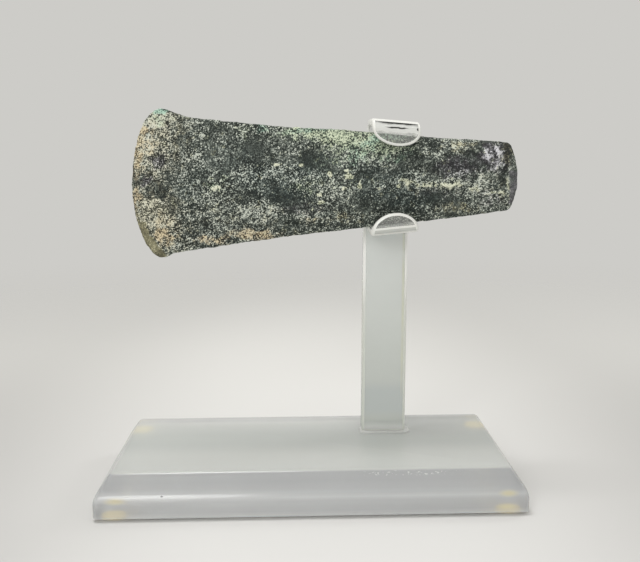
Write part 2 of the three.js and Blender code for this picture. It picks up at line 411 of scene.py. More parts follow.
# Where the crusts lie on the axe's face. Under quiet the grain is fainter and under smooth it
# is coarser. Each oval: middle x and z, reach along and across (mm), turn (degrees), amount.
patinaSet = {
    "light": [
        (-46, 118, 4.5, 2.4, 10, 0.4), (-51, 114.7, 1.3, 0.7, 0, 0.42),
        (-49.8, 110.6, 2.8, 2.4, 0, 0.26), (-45.6, 112, 3.8, 3.6, 0, 0.16),
        (-31.4, 115.3, 1.5, 0.9, -20, 0.45), (-32.5, 112.9, 1.1, 1.1, 0, 0.36),
        (-28.8, 117.5, 1.6, 0.4, 4, 0.5), (-23.5, 116, 1.6, 0.8, 0, 0.32),
        (-19.3, 113.7, 2.6, 1.7, 0, 0.15), (-35.6, 108, 3.4, 2, 10, 0.16),
        (-28.8, 97, 1.8, 1, 0, 0.42), (-27, 99.9, 2.2, 1.3, 0, 0.22),
        (-9.9, 103.8, 1.3, 0.8, 0, 0.42), (-9.6, 101.7, 2.4, 1.1, 0, 0.3),
        (-1.4, 97, 2.6, 1.8, -20, 0.24), (-18, 89, 9, 3.2, -4, 0.12),
        (-16.2, 90.2, 3.2, 1.6, -10, 0.12), (-48.2, 91.8, 3.2, 1.5, 20, 0.2),
        (-45.8, 86, 3, 3.2, 0, 0.22), (-45, 80.9, 2.6, 1.8, 0, 0.22),
        (-16.5, 82, 8.4, 1.6, -5, 0.31), (-30, 80.4, 5.5, 1.2, -6, 0.26),
        (0.5, 87.4, 4.2, 1.3, -6, 0.14), (7, 112.6, 5, 2, 4, 0.4), (-2, 114, 5, 1.4, 4, 0.28),
        (16, 111.6, 7, 2.2, 6, 0.3), (25, 109.6, 5, 2.4, 0, 0.14), (17, 105.6, 7, 2.4, 8, 0.1),
        (57.5, 98.5, 3.6, 4.6, 0, 0.05), (55.8, 106.7, 0.55, 1.7, 15, 0.95),
        (59, 107.7, 0.6, 1.7, 20, 1), (-20, 109.5, 12, 4.5, -6, 0.08), (59, 105.4, 3.4, 3, 0, 0.3),
        (47.5, 109.3, 4, 1.8, 0, 0.18), (12, 87, 5.4, 1.1, -5, 0.08), (-36, 116.7, 4, 0.9, 8, 0.14),
        (8, 96.5, 6, 3.4, 0, 0.11), (-53.4, 105, 1.6, 6, 4, 0.2), (-53, 95.5, 1.2, 2, -8, 0.12),
        (27, 112, 5, 1.5, 5, 0.22), (-50, 78.5, 2.6, 2.4, 0, 0.14), (54, 92.5, 8, 2.2, -5, 0.19),
        (63.2, 100, 1.2, 8, 0, 0.14),
    ],
    "dark": [
        (-38.8, 112.6, 2.8, 2.6, 0, 0.14), (-29, 111, 3.2, 4, 0, 0.11),
        (-15, 108.5, 7, 4.6, 6, 0.13), (-46.7, 104.8, 2.4, 2, 0, 0.13),
        (-51, 99.6, 2, 1.6, 0, 0.16), (-50.8, 94.6, 1.6, 1.2, 0, 0.1), (-42, 95.5, 5.4, 5, 0, 0.1),
        (-10, 95.5, 6.5, 3.4, -6, 0.18), (-1, 90.3, 6, 1.4, -6, 0.12), (23, 93.3, 9, 3.2, -6, 0.18),
        (47, 103, 7.5, 3, 6, 0.16), (35, 104.5, 6, 2.8, 4, 0.15), (-38.5, 79.2, 6, 0.9, -8, 0.14),
        (63, 107.5, 1.6, 3.6, 0, 0.06), (42, 93.2, 9, 1.8, -4, 0.12), (3, 85.2, 14, 0.8, -6, 0.16),
        (-20, 79.6, 12, 0.5, -7, 0.2), (44, 87.8, 16, 0.7, -7, 0.14), (2, 106, 4.4, 3.2, 0, 0.14),
        (13, 90.4, 10, 1.8, -5, 0.16), (50, 93, 7, 2, -4, 0.14), (26, 102, 8, 2.6, 0, 0.07),
        (-24, 104, 5, 3, 0, 0.07), (-53.4, 100.5, 1.8, 3.6, 0, 0.26), (-33, 100, 8, 6, 0, 0.05),
        (62.6, 108.6, 1.8, 2.6, 0, 0.12),
    ],
    "ridge": [
        (30.6, 98.4, 2.4, 1.1, -6, 0.62), (37.5, 97.6, 4.5, 0.8, 4, 0.62),
        (44.2, 97.2, 3.8, 0.9, 6, 0.7), (51, 95.7, 4, 0.6, 8, 0.36), (59, 94.8, 4, 0.5, 6, 0.36),
        (45, 99.2, 5.5, 0.5, -8, 0.22), (62.5, 96.6, 0.22, 4.4, 3, 0.45),
        (60.4, 94.4, 1.6, 0.7, -20, 0.4), (22.4, 96.6, 1.4, 0.7, 0, 0.4),
    ],
    "cool": [
        (-42, 96, 8, 6, 0, 0.7), (-25, 105, 12, 7, 0, 0.5), (-8, 97, 12, 6, 0, 0.7),
        (6, 104, 12, 4, 0, 0.6), (25, 97, 13, 6, 0, 0.7), (38, 92, 10, 3, 0, 0.5),
        (-50, 96, 3, 3, 0, 0.7),
    ],
    "tan": [
        (-16.5, 81.8, 8.8, 1.9, -5, 0.85), (-30, 80.4, 6, 1.5, -6, 0.8), (-53.8, 106, 1.8, 6, 4, 1),
        (-54.2, 93.6, 1.4, 3.4, -6, 0.9), (-45.5, 81.5, 3.4, 2.4, 0, 1),
        (-49.8, 111.2, 3.2, 3.6, 0, 0.55), (-46, 86, 3.4, 3.4, 0, 0.5),
        (0.5, 87.4, 4.4, 1.4, 0, 0.35), (-51, 114.7, 1.6, 1.2, 0, 0.8),
    ],
    "cream": [
        (-22, 87, 22, 7, -6, 0.3), (-46, 110, 9, 12, 0, 0.45), (-47, 86, 8, 10, 0, 0.6),
        (58, 97, 7, 8, 0, 0.3),
    ],
    "veins": [(57.5, 98, 4.5, 5, 0, 0.3), (46, 98, 9, 1.8, 0, 0.18)],
    "quiet": [(-20, 109.5, 13, 5, -6, 0.6), (-38, 100, 7, 6, 0, 0.3), (2, 105, 6, 4, 0, 0.3)],
    "smooth": [
        (60, 102, 8, 9, 0, 0.7), (44, 106, 10, 5, 0, 0.4), (20, 105, 14, 6, 0, 0.35),
        (62, 109, 3, 3, 0, 0.4), (40, 93, 12, 4, 0, 0.3),
    ],
    "green": [
        (6.5, 112.6, 6.5, 2.6, 4, 1.1), (-3, 113.8, 7, 2, 4, 1), (17, 111.6, 9, 3.2, 6, 1),
        (27, 108.6, 7, 3, 8, 0.7), (12, 106.5, 12, 3.4, 8, 0.5), (-2, 97, 3, 2, 0, 0.6),
        (-28.8, 97, 2.2, 1.4, 0, 0.7), (-27, 99.9, 2.6, 1.6, 0, 0.5), (8, 99, 14, 4, 0, 0.25),
        (63, 107.5, 1.8, 3.6, 0, 0.4), (-19, 113.6, 3.2, 2, 0, 0.4),
    ],
    "mint": [
        (-45.3, 120.6, 1.9, 0.8, 4, 1.6), (-13.6, 115.3, 2, 1.3, 0, 0.9),
        (4, 114.8, 12, 0.9, 5, 0.7), (18, 109.2, 6, 2.2, 6, 0.5), (-46, 118.4, 4, 2, 0, 0.35),
        (15, 105.3, 3, 2, 0, 0.5), (27, 106.4, 5, 1.6, 8, 0.5), (26, 112.4, 7, 1.6, 6, 0.8),
    ],
    "violet": [
        (-46.7, 104.8, 2.6, 2.2, 0, 0.8), (-51, 99.6, 2.4, 1.8, 0, 0.8), (47, 103, 8, 3.4, 6, 0.9),
        (59, 106, 4.4, 4.4, 0, 1), (40, 95, 9, 2, -4, 0.4), (57, 93, 5, 3, 0, 0.5),
        (-2, 90, 7, 2, 0, 0.5), (56.5, 107.2, 2.6, 2.4, 0, 0.8),
    ],
    "olive": [
        (46, 90, 7, 1.8, -6, 0.6), (47.5, 109.3, 4.6, 2.2, 0, 0.6), (12, 87.4, 6, 1.8, -5, 0.6),
        (33, 92.2, 3.4, 3, 0, 0.2), (62.6, 107, 2.2, 3.6, 0, 0.6), (-38.8, 112.6, 3, 3, 0, 0.4),
        (-29.3, 107.7, 1.4, 0.9, 0, 0.3),
    ],
    "spots": [
        (12.7, 100.3, 1.4, 0.7, 0, 1), (11.9, 101.9, 0.6, 0.7, 0, 1), (6.9, 100.9, 0.7, 1, 0, 1),
        (11.1, 96.5, 0.6, 0.6, 0, 1), (15.9, 97.5, 0.6, 1, 0, 1), (3.5, 94.6, 0.9, 0.7, 0, 1),
        (3.8, 92.3, 1.4, 0.6, 0, 0.9), (-28.8, 97, 1.3, 0.7, 15, 0.8),
        (12.5, 93.6, 0.5, 0.4, 0, 0.9), (-2, 103.8, 0.7, 0.7, 0, 0.9), (28, 97.2, 0.7, 0.5, 0, 1),
        (30.8, 98.4, 1, 0.8, 0, 0.9), (-9.7, 103.9, 1, 0.5, 0, 0.9), (1.3, 90.1, 0.4, 0.4, 0, 1.3),
    ],
}


layoutSet = {
    "seed": 1,  # without one, the noise in push starts from the clock
    "ragged": (2.6, 1.7, 3),  # noise that pushes outlines about: size and reach (mm), depth
    "crisp": (1.2, 0.55, 2),
    "apart": 40,  # mm between the places where the two are read
    "small": 1.25,  # ovals narrower than this use the crisp one
    "ovalEnd": 1.7,  # in reaches
    "ovalFade": 1.4,
    "middleZ": 98.1,
    "behind": (0, 3),
    "edgeMiddle": -5.2,  # of the cutting edge's arc
    "edgeRadius": 50,
    "leftSide": (-30, -12),
    "blade": (2, 22),  # how far in from the cutting edge it fades
    "bevel": (1.0, 2.2),
    "bevelWidens": (86, 12, 0.22),  # below this height, over how far, and how much
    "bevelTop": (84, 92),
    "facetFrom": (62.7, 63.2),
    "facetSlope": 0.06,
    "facetMiddle": 98,
    "facetFoot": (90.4, 91.6),
    "facetTop": (101.0, 102.2),
    "knobs": 1.1,
    "knobRange": (-0.2, 0.2),
}


def push(places, size, amount, depth):
    # how far noise pushes each place about, so that what is laid out with it gets ragged outlines
    return amount * np.array([
        noise.turbulence_vector(Vector(place) / size, depth, False) for place in places.tolist()
    ])


def ovals(ragged, crisp, name):
    # the sum of the soft ovals called name, at each place. Small ones keep their shape better.
    total = np.zeros(len(ragged))
    for x, z, reachX, reachZ, turn, amount in patinaSet[name]:
        angle = math.radians(turn)
        places = crisp if min(reachX, reachZ) < layoutSet["small"] else ragged
        aside = places[:, 0] - x
        above = places[:, 2] - z
        across = (aside * math.cos(angle) + above * math.sin(angle)) / reachX
        up = (above * math.cos(angle) - aside * math.sin(angle)) / reachZ
        far = np.hypot(across, up)
        share = np.clip((layoutSet["ovalEnd"] - far) / layoutSet["ovalFade"], 0, 1)
        total += amount * share * share * (3 - 2 * share)
    return total


def soften(values, low, high):
    share = np.clip((values - low) / (high - low), 0, 1)
    return share * share * (3 - 2 * share)


def layCrusts(places):
    # amounts of each crust at each place on the axe (mm), as a dictionary of arrays
    noise.seed_set(layoutSet["seed"])
    ragged = places + push(places, *layoutSet["ragged"])
    crisp = places + push(places + layoutSet["apart"], *layoutSet["crisp"])
    # behind, the same crusts lie the other way up
    behind = soften(ragged[:, 1], *layoutSet["behind"])
    crusts = {}
    for name in patinaSet:
        crusts[name] = ovals(ragged, crisp, name) * (1 - behind)
        if name not in ("spots", "ridge"):
            over = (1, 1, -1)
            lift = (0, 0, 2 * layoutSet["middleZ"])
            crusts[name] += ovals(ragged * over + lift, crisp * over + lift, name) * behind
    fromMiddle = np.hypot(
        ragged[:, 0] - layoutSet["edgeMiddle"], ragged[:, 2] - layoutSet["middleZ"]
    )
    inwards = layoutSet["edgeRadius"] - fromMiddle
    leftSide = 1 - soften(places[:, 0], *layoutSet["leftSide"])
    crusts["blade"] = (1 - soften(inwards, *layoutSet["blade"])) * leftSide
    height, over, widening = layoutSet["bevelWidens"]
    wide = inwards - np.clip(height - places[:, 2], 0, over) * widening
    low = 1 - soften(ragged[:, 2], *layoutSet["bevelTop"])
    crusts["bevel"] = (1 - soften(wide, *layoutSet["bevel"])) * low * leftSide
    slanted = crisp[:, 0] + (crisp[:, 2] - layoutSet["facetMiddle"]) * layoutSet["facetSlope"]
    crusts["facet"] = (
        soften(slanted, *layoutSet["facetFrom"])
        * soften(crisp[:, 2], *layoutSet["facetFoot"])
        * (1 - soften(crisp[:, 2], *layoutSet["facetTop"]))
    )
    size = layoutSet["knobs"]
    knobs = np.array([noise.noise(Vector(place) / size) for place in places.tolist()])
    crusts["ridge"] *= 0.1 + 1.15 * soften(knobs, *layoutSet["knobRange"])
    crusts["light"] += crusts["ridge"] - crusts.pop("dark")
    return crusts


def readVertices(part, kind):
    values = np.empty(len(part.data.vertices) * 3, np.float32)
    part.data.vertices.foreach_get(kind, values)
    return values


def makeAxe(material):
    source = nodes["axe_head"]
    axe = bpy.data.objects.new("axe_body", source.data.copy())
    bpy.context.collection.objects.link(axe)
    editAll(axe)
    bpy.ops.mesh.remove_doubles(threshold=0.01 * mm)
    leaveEdit()
    remesh = axe.modifiers.new("fine", "REMESH")
    remesh.mode = "VOXEL"
    remesh.voxel_size = axeSet["voxel"] * mm
    even = axe.modifiers.new("even", "SMOOTH")
    even.factor = 0.5
    even.iterations = axeSet["evenOut"]
    applyAll(axe)
    before = readVertices(axe, "co")
    normals = readVertices(axe, "normal")
    crusts = layCrusts(before.reshape(-1, 3).astype(np.float64) / mm)
    addRelief(axe, "CLOUDS", *axeSet["swell"], 0.5, 1)
    addRelief(axe, "CLOUDS", *axeSet["crust"], 0.5, 3)
    addRelief(axe, "VORONOI", *axeSet["pits"], 0.6)
    addRelief(axe, "CLOUDS", *axeSet["grain"], 0.5, 2)
    applyAll(axe)
    after = readVertices(axe, "co")
    relief = ((after - before) * normals).reshape(-1, 3).sum(axis=1) / mm
    raised = crusts["light"] * axeSet["crustRise"] + crusts["ridge"] * axeSet["ridgeRise"]
    raised += crusts["spots"] * axeSet["spotRise"]
    after += normals * np.repeat(raised, 3).astype(np.float32) * mm
    axe.data.vertices.foreach_set("co", after)
    axe.data.update()
    crusts["relief"] = relief
    for name, amounts in crusts.items():
        layer = axe.data.attributes.new(name, "FLOAT", "POINT")
        layer.data.foreach_set("value", amounts.astype(np.float32))
    print("axe relief", relief.min(), relief.max(), "triangles", len(axe.data.polygons) * 2)
    bpy.ops.object.shade_smooth()
    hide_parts("axe_head")
    return wear(axe, "bronze", material)


# Tones of each crust, from a dark gap to a bright fleck.
crustTones = {
    "grey": [(38, 44, 40), (60, 66, 61), (92, 99, 93), (150, 157, 147), (224, 229, 216)],
    "cool": [(35, 44, 42), (56, 66, 64), (88, 99, 96), (147, 158, 152), (222, 231, 221)],
    "cream": [(43, 44, 38), (67, 68, 60), (103, 104, 91), (166, 164, 144), (236, 233, 210)],
    "tan": [(46, 42, 34), (75, 68, 56), (117, 107, 87), (178, 162, 130), (234, 218, 182)],
    "green": [(38, 45, 40), (60, 69, 61), (97, 110, 95), (158, 172, 145), (222, 231, 202)],
    "mint": [(36, 48, 44), (57, 74, 67), (92, 116, 105), (146, 180, 162), (202, 234, 214)],
    "violet": [(44, 43, 45), (64, 63, 66), (94, 94, 97), (151, 150, 154), (226, 225, 230)],
    "olive": [(48, 47, 38), (74, 72, 58), (106, 103, 82), (152, 148, 118), (208, 203, 170)],
    "crest": [(40, 43, 36), (72, 76, 63), (120, 126, 103), (182, 188, 157), (240, 242, 218)],
}


# Layers of noise: size (mm), detail, roughness, distortion, shift, stretch and turn (degrees).
bronzeSet = {
    "blotch": (8, 2, 0.5, 0.5, (3, 9, 41)),
    "cluster": (2.7, 3, 0.6, 0.8, (31, 7, 3)),
    "grains": (0.8, 2, 0.7, 0.4, (5, 17, 29), (1.5, 1, 0.9), -38),
    "dust": (0.42, 1, 0.7, 0.0, (11, 2, 8)),
    "hue": (1.9, 3, 0.6, 0.6, (71, 3, 19)),
    "calm": (6, 2, 0.5, 0.0, (13, 5, 77)),
    "flecked": (1.4, 1, 0.5, 0.0, (2, 8, 3)),
}


def corrodedBronze():
    bronze = Recipe("corrodedBronze")
    blotch = bronze.noise(*bronzeSet["blotch"]) - 0.5
    cluster = bronze.noise(*bronzeSet["cluster"]) - 0.5
    grains = bronze.noise(*bronzeSet["grains"]) - 0.5
    dust = bronze.noise(*bronzeSet["dust"]) - 0.5
    smooth = bronze.limit(bronze.attribute("smooth"))
    hue = bronze.noise(*bronzeSet["hue"]) - 0.5
    veins = 1 - bronze.rise(bronze.cells(1.5, "DISTANCE_TO_EDGE", (3, 0, 3)), 0.02, 0.16)
    plain = bronze.limit(bronze.attribute("bevel") + bronze.attribute("facet"))
    light = bronze.attribute("light")
    calm = bronze.noise(*bronzeSet["calm"]) - 0.5
    amount = bronze.limit(0.86 + light * 1.1 + calm * 1.8 - bronze.attribute("quiet") * 0.4)
    amount = amount * (1 - plain * 0.75)
    fleck = 1 - bronze.rise(bronze.cells(1.15, "F1", (9, 2, 5)), 0.14, 0.34)
    fleck = fleck * bronze.rise(bronze.noise(*bronzeSet["flecked"]), 0.5, 0.62)
    speckle = cluster * (1.5 + smooth * 0.8) + grains * 2.1 + dust * (4.0 - smooth * 3.0)
    speckle = speckle + bronze.attribute("relief") * (0.4 + smooth * 0.3) + fleck * 0.3
    speckle = speckle + veins * bronze.attribute("veins")
    spots = bronze.rise(bronze.attribute("spots") + grains * 1.1, 0.28, 0.6)
    crest = bronze.attribute("ridge")
    tone = 0.4 + bronze.attribute("blade") * 0.18 + light + blotch * 0.7 + spots * 0.5
    tone = tone + speckle * (amount + crest * 0.8) - crest * 0.05
    wander = hue * 2.2 + grains * 0.8

    def shades(crust):
        stops = [(0.25 * step, tint(*shade)) for step, shade in enumerate(crustTones[crust])]
        return bronze.ramp(tone, stops)

    colour = shades("grey")
    for crust, zone in (
        ("cool", bronze.attribute("cool")),
        ("cream", bronze.attribute("cream") + bronze.attribute("blade") * 0.5),
        ("violet", bronze.attribute("violet") + bronze.attribute("facet")),
        ("green", bronze.attribute("green")),
        ("mint", bronze.attribute("mint")),
        ("tan", bronze.attribute("tan")),
        ("olive", bronze.attribute("olive") + bronze.attribute("bevel") * 1.4),
        ("crest", spots * 1.1 + crest * 2.0),
    ):
        colour = bronze.blend(bronze.rise(zone + wander, 0.15, 1.15), colour, shades(crust))
    surface = bronze.shader({
        "Base Color": colour,
        "Roughness": 0.8 - tone * 0.1,
        "Metallic": 0.0,
        "Specular IOR Level": 0.35,
        "Normal": bronze.bump(grains * 2.0 + dust * 2.0, 0.8, 0.25 * mm),
    })
    return bronze.finish(surface)


# Acrylic

def darker(colour, share):
    return (*(share * part for part in colour[:3]), 1.0)


def acrylic(name, colour, roughness, haze, milk=None, shade=None, veil=None):
    # clear plastic mixed with some cloudy white. By place, shade gives the cloudiness's colour
    # and veil adds to it.
    sheet = Recipe(name)
    cloud = sheet.noise(24, 3, 0.5)
    milk = milk or colour
    clear = sheet.shader({
        "Base Color": sheet.blend(cloud, colour, darker(colour, 0.96)),
        "Roughness": roughness + (cloud - 0.5) * 0.06,
        "IOR": 1.49,
        "Transmission Weight": 1.0,
    })
    plain = sheet.blend(cloud, milk, darker(milk, 0.97))
    cloudy = sheet.shader({
        "Base Color": shade(sheet, plain) if shade else plain,
        "Roughness": 0.25,
        "Specular IOR Level": 0.5,
    })
    amount = haze + (cloud - 0.5) * 0.04
    if veil:
        amount = sheet.limit(amount + veil(sheet))
    mixed = sheet.node("ShaderNodeMixShader", {}, {0: amount, 1: clear, 2: cloudy})
    return sheet.finish(mixed)


blockShadeSet = {
    # painted shade and highlight: greys up the cut sides, from the foot to the top edge; the sides
    # are painted darker than the top, lighter at the foot and whitest at the lower arris
    "sides": [
        (0.06, 244), (0.13, 216), (0.2, 204), (0.3, 208), (0.42, 220), (0.5, 238),
        (0.57, 219), (0.66, 209), (0.8, 204), (0.95, 208),
    ],
    "height": 13.6,  # mm, as are all the places below
    "topFrom": (13.0, 13.5),
    "band": tint(213, 222, 216),
    "bandAt": (-14, 0, 6, 24),
    "paintedGlowUp": (5.6, 7.0, 7.4, 9.6),
    "paintedGlowAlong": (-52, 12),
    "paintedPadImage": tint(255, 244, 204),
    # painted refraction: the yellowed pads as they show in the front and back walls: x, z, reaches
    # and amount
    "paintedPadImages": [(-58.2, 6.4, 3.2, 1.0, 1.0), (58.6, 6.9, 2.8, 1.0, 1.0), (58.0, 3.0, 3.2, 1.0, 0.4)],
    "speck": (-44.4, 7.6, 0.4, 0.3),
    "speckTone": tint(60, 60, 58),
    "speckBehind": (-20, -10),
    "scratchAlong": (14, 18, 41, 47),
    "scratchUp": (11.6, 12.2, 12.8, 13.3),
    "scratchBehind": (-27, -25),
    # painted shadow of the post on the top
    "corner": tint(214, 217, 213),
    "paintedPostShadowAlong": (2, 34),
    "paintedPostShadowBack": (0, 16),
    # painted highlight along the back edge
    "paintedShine": tint(255, 255, 254),
    "shineBack": (24, 28),
    "shineLeftBack": (17, 26),
    "shineLeftAlong": (-10, 30),
}


def blockShade(sheet, plain):
    # painted shade: the cut sides are painted greyer than the top, and the top has a darker
    # greenish band across it
    tones = blockShadeSet
    white = tint(255, 255, 255)
    topFace = sheet.rise(sheet.z, *tones["topFrom"])
    sides = sheet.ramp(sheet.z / tones["height"], [
        (place, tint(grey, grey + 1, grey + 3)) for place, grey in tones["sides"]
    ])
    # painted highlight: the lower arris is painted whiter, most at the left
    paintedGlow = sheet.between(sheet.z, *tones["paintedGlowUp"]) * (1 - sheet.rise(sheet.x, *tones["paintedGlowAlong"]))
    sides = sheet.blend(paintedGlow * 0.4, sides, white)
    # painted refraction of the pads, seen through the walls
    for x, z, reachX, reachZ, amount in tones["paintedPadImages"]:
        near = sheet.oval(x, z, reachX, reachZ, 0.2, 1.4)
        sides = sheet.blend(near * amount, sides, tones["paintedPadImage"])
    speck = sheet.oval(*tones["speck"], 0.5, 1.2)
    speck = speck * (1 - sheet.rise(sheet.y, *tones["speckBehind"]))
    sides = sheet.blend(speck, sides, tones["speckTone"])
    scratch = sheet.rise(sheet.noise(0.55, 2, 0.6, 0.5, stretch=(1.8, 1, 0.8)), 0.6, 0.66)
    scratch = scratch * sheet.between(sheet.x, *tones["scratchAlong"])
    scratch = scratch * sheet.between(sheet.z, *tones["scratchUp"])
    scratch = scratch * (1 - sheet.rise(sheet.y, *tones["scratchBehind"]))
    sides = sheet.blend(scratch, sides, white)
    whole = sheet.blend(topFace, sides, plain)
    band = sheet.between(sheet.y, *tones["bandAt"])
    whole = sheet.blend(band * topFace * 0.5, whole, tones["band"])
    # painted shadow of the post, darker behind and to the right of it, and a painted highlight
    # shining along the back edge
    corner = sheet.rise(sheet.x, *tones["paintedPostShadowAlong"]) * sheet.rise(sheet.y, *tones["paintedPostShadowBack"])
    whole = sheet.blend(corner * topFace, whole, tones["corner"])
    # painted highlight along the back edge of the top, reaching further forward at the left
    paintedShine = sheet.rise(sheet.y, *tones["shineLeftBack"])
    paintedShine = paintedShine * (1 - sheet.rise(sheet.x, *tones["shineLeftAlong"]))
    paintedShine = sheet.limit(paintedShine + sheet.rise(sheet.y, *tones["shineBack"]))
    return sheet.blend(paintedShine * topFace, whole, tones["paintedShine"])


# Heights, and places across the post from its middle, are in mm.
postShadeSet = {
    "low": tint(196, 201, 195),
    "lowUp": (12, 80),
    "footBlue": tint(190, 198, 200),
    "footBlueUp": (18, 22, 27, 33),
    "topBlue": tint(212, 238, 244),
    "topBlueUp": (78, 86, 96, 104),
    "topBlueAcross": (-4, 0, 1, 5),
    "topBlueCloud": (0.35, 0.6),
    "rightLine": tint(236, 236, 196),
    "rightLineAcross": (5.3, 5.9, 6.1, 6.8),
    "rightLineCloud": (0.3, 0.55),
    "rightLineUp": (22, 40),
    "leftLine": tint(232, 233, 196),
    "leftLineAcross": (-7.4, -6.2),
    "leftLineUp": (36, 46, 60, 72),
    "weldWhite": tint(255, 255, 254),
    "weldWhiteUp": (14.4, 18.0),
    # painted highlight on the post's edges: greyer low down, whiter near the top
    "edge": tint(232, 235, 226),
    "edgeUp": (40, 72),
    "paintedEdgeHighlightUp": (54, 70),
    "paintedEdgeHighlight": 0.38,
}


def postShade(sheet, plain):
    # clouded whiter just above the weld, and otherwise darker below than above
    tones = postShadeSet
    shade = sheet.blend(sheet.rise(sheet.z, *tones["lowUp"]), tones["low"], plain)
    # bluer near the foot and the top, and yellowed in a line along each side
    blue = sheet.between(sheet.z, *tones["footBlueUp"])
    shade = sheet.blend(blue * 0.7, shade, tones["footBlue"])
    slope = math.tan(math.radians(postSet["lean"]))
    aside = sheet.x - postSet["middle"] - (sheet.z - blockShadeSet["height"]) * slope
    cloud = sheet.noise(7, 2, stretch=(0.5, 1, 1.6), shift=(3, 1, 4))
    blue = sheet.between(sheet.z, *tones["topBlueUp"])
    blue = blue * sheet.between(aside, *tones["topBlueAcross"])
    blue = blue * sheet.rise(cloud, *tones["topBlueCloud"])
    shade = sheet.blend(blue, shade, tones["topBlue"])
    line = sheet.between(aside, *tones["rightLineAcross"])
    line = line * sheet.rise(cloud, *tones["rightLineCloud"])
    line = line * sheet.rise(sheet.z, *tones["rightLineUp"])
    shade = sheet.blend(line * 0.6, shade, tones["rightLine"])
    line = 1 - sheet.rise(aside, *tones["leftLineAcross"])
    line = line * sheet.between(sheet.z, *tones["leftLineUp"])
    shade = sheet.blend(line * 0.6, shade, tones["leftLine"])
    return sheet.blend(1 - sheet.rise(sheet.z, *tones["weldWhiteUp"]), shade, tones["weldWhite"])


def edgeShade(sheet, plain):
    # painted shade: the edges are greyer below and plain near the top
    return sheet.blend(sheet.rise(sheet.z, *postShadeSet["edgeUp"]), postShadeSet["edge"], plain)


def paintedEdgeHighlight(sheet):
    # painted highlight: the post's edges are painted whiter near the top, where they catch the
    # light
    return sheet.rise(sheet.z, *postShadeSet["paintedEdgeHighlightUp"]) * postShadeSet["paintedEdgeHighlight"]


blockSet = {
    "corner": 1.5,  # mm
    "bevelRun": 4.8,
    "bevelDrop": 6.9,
    "backReach": 1.6,  # how much narrower the bevel is behind
    "upperArris": 0.9,
    "lowerArris": 1.9,
    "foot": 0.45,
}


def makeBlock(material):
    low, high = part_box("base")
    block = addCube("block", low, high)
    upright = lambda a, b: abs(a.z - b.z) > 5 * mm
    selectWhere(block, upright, "EDGE")
    bpy.ops.mesh.bevel(offset=blockSet["corner"] * mm, segments=6)
    bpy.ops.mesh.select_all(action="SELECT")
    bpy.ops.mesh.bisect(
        plane_co=(0, 0, high[2] - blockSet["bevelDrop"] * mm), plane_no=(0, 0, 1)
    )
    leaveEdit()
    selectWhere(block, lambda place: place.z > high[2] - 0.1 * mm)
    width = high[0] - low[0]
    depth = high[1] - low[1]
    run = 2 * blockSet["bevelRun"] * mm
    bpy.ops.transform.resize(
        value=((width - run) / width, (depth - run) / depth, 1), center_override=(0, 0, high[2])
    )
    leaveEdit()
    selectWhere(block, lambda place: place.z > high[2] - 0.1 * mm and place.y > 0)
    bpy.ops.transform.translate(value=(0, blockSet["backReach"] * mm, 0))
    leaveEdit()
    for height, width in (
        (high[2], blockSet["upperArris"]),
        (high[2] - blockSet["bevelDrop"] * mm, blockSet["lowerArris"]),
        (low[2], blockSet["foot"]),
    ):
        level = lambda a, b: max(abs(a.z - height), abs(b.z - height)) < 0.01 * mm
        selectWhere(block, level, "EDGE")
        bpy.ops.mesh.bevel(offset=width * mm, segments=6)
        leaveEdit()
    pick(block)
    bpy.ops.object.shade_smooth_by_angle(angle=math.radians(25))
    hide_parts("base")
    return wear(block, "block_acrylic", material)


postSet = {
    "width": 14.7,  # mm
    "middle": 24.85,
    "lean": 0.55,
    "edge": 0.9,
}


def makePost(material, edgeMaterial):
    low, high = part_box("post")
    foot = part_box("base")[1][2]
    half = postSet["width"] / 2 * mm
    middle = postSet["middle"] * mm
    post = addCube(
        "post_strip",
        (middle - half, low[1], foot + 0.02 * mm),
        (middle + half, high[1], high[2] - 0.1 * mm),
    )
    editAll(post)
    bpy.ops.transform.rotate(
        value=-math.radians(postSet["lean"]), orient_axis="Y", center_override=(middle, 0, foot)
    )
    leaveEdit()
    post.data.materials.append(material)
    post.data.materials.append(edgeMaterial)
    edge = post.modifiers.new("edge", "BEVEL")
    edge.width = postSet["edge"] * mm
    edge.segments = 5
    edge.material = 1
    applyAll(post)
    bpy.ops.object.shade_smooth_by_angle(angle=math.radians(30))
    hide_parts("post")
    return wear(post, "post_acrylic", material, edgeMaterial)


weldSet = {
    "reachLeft": 0.6,  # mm beyond the post
    "reachRight": 1.5,
    "reachFront": 1.5,
    "reachBack": 0.8,
    "height": 0.6,
    "corner": 2.2,
    "round": 0.62,  # of the height
}


def makeWeld(material):
    # the hardened solvent that ran out round the post's foot
    low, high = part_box("post")
    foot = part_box("base")[1][2]
    half = postSet["width"] / 2 * mm
    middle = postSet["middle"] * mm
    weld = addCube(
        "weld_bead",
        (middle - half - weldSet["reachLeft"] * mm, low[1] - weldSet["reachFront"] * mm, foot),
        (
            middle + half + weldSet["reachRight"] * mm,
            high[1] + weldSet["reachBack"] * mm,
            foot + weldSet["height"] * mm,
        ),
    )
    selectWhere(weld, lambda a, b: abs(a.z - b.z) > 0.1 * mm, "EDGE")
    bpy.ops.mesh.bevel(offset=weldSet["corner"] * mm, segments=8)
    leaveEdit()
    top = foot + weldSet["height"] * mm
    selectWhere(weld, lambda a, b: min(a.z, b.z) > top - 0.05 * mm, "EDGE")
    bpy.ops.mesh.bevel(offset=weldSet["round"] * weldSet["height"] * mm, segments=4)
    leaveEdit()
    bpy.ops.object.shade_smooth_by_angle(angle=math.radians(40))
    return wear(weld, "post_acrylic", material)


padSet = {"radius": 3.6, "inBlock": 0.5, "edge": 0.2}  # mm


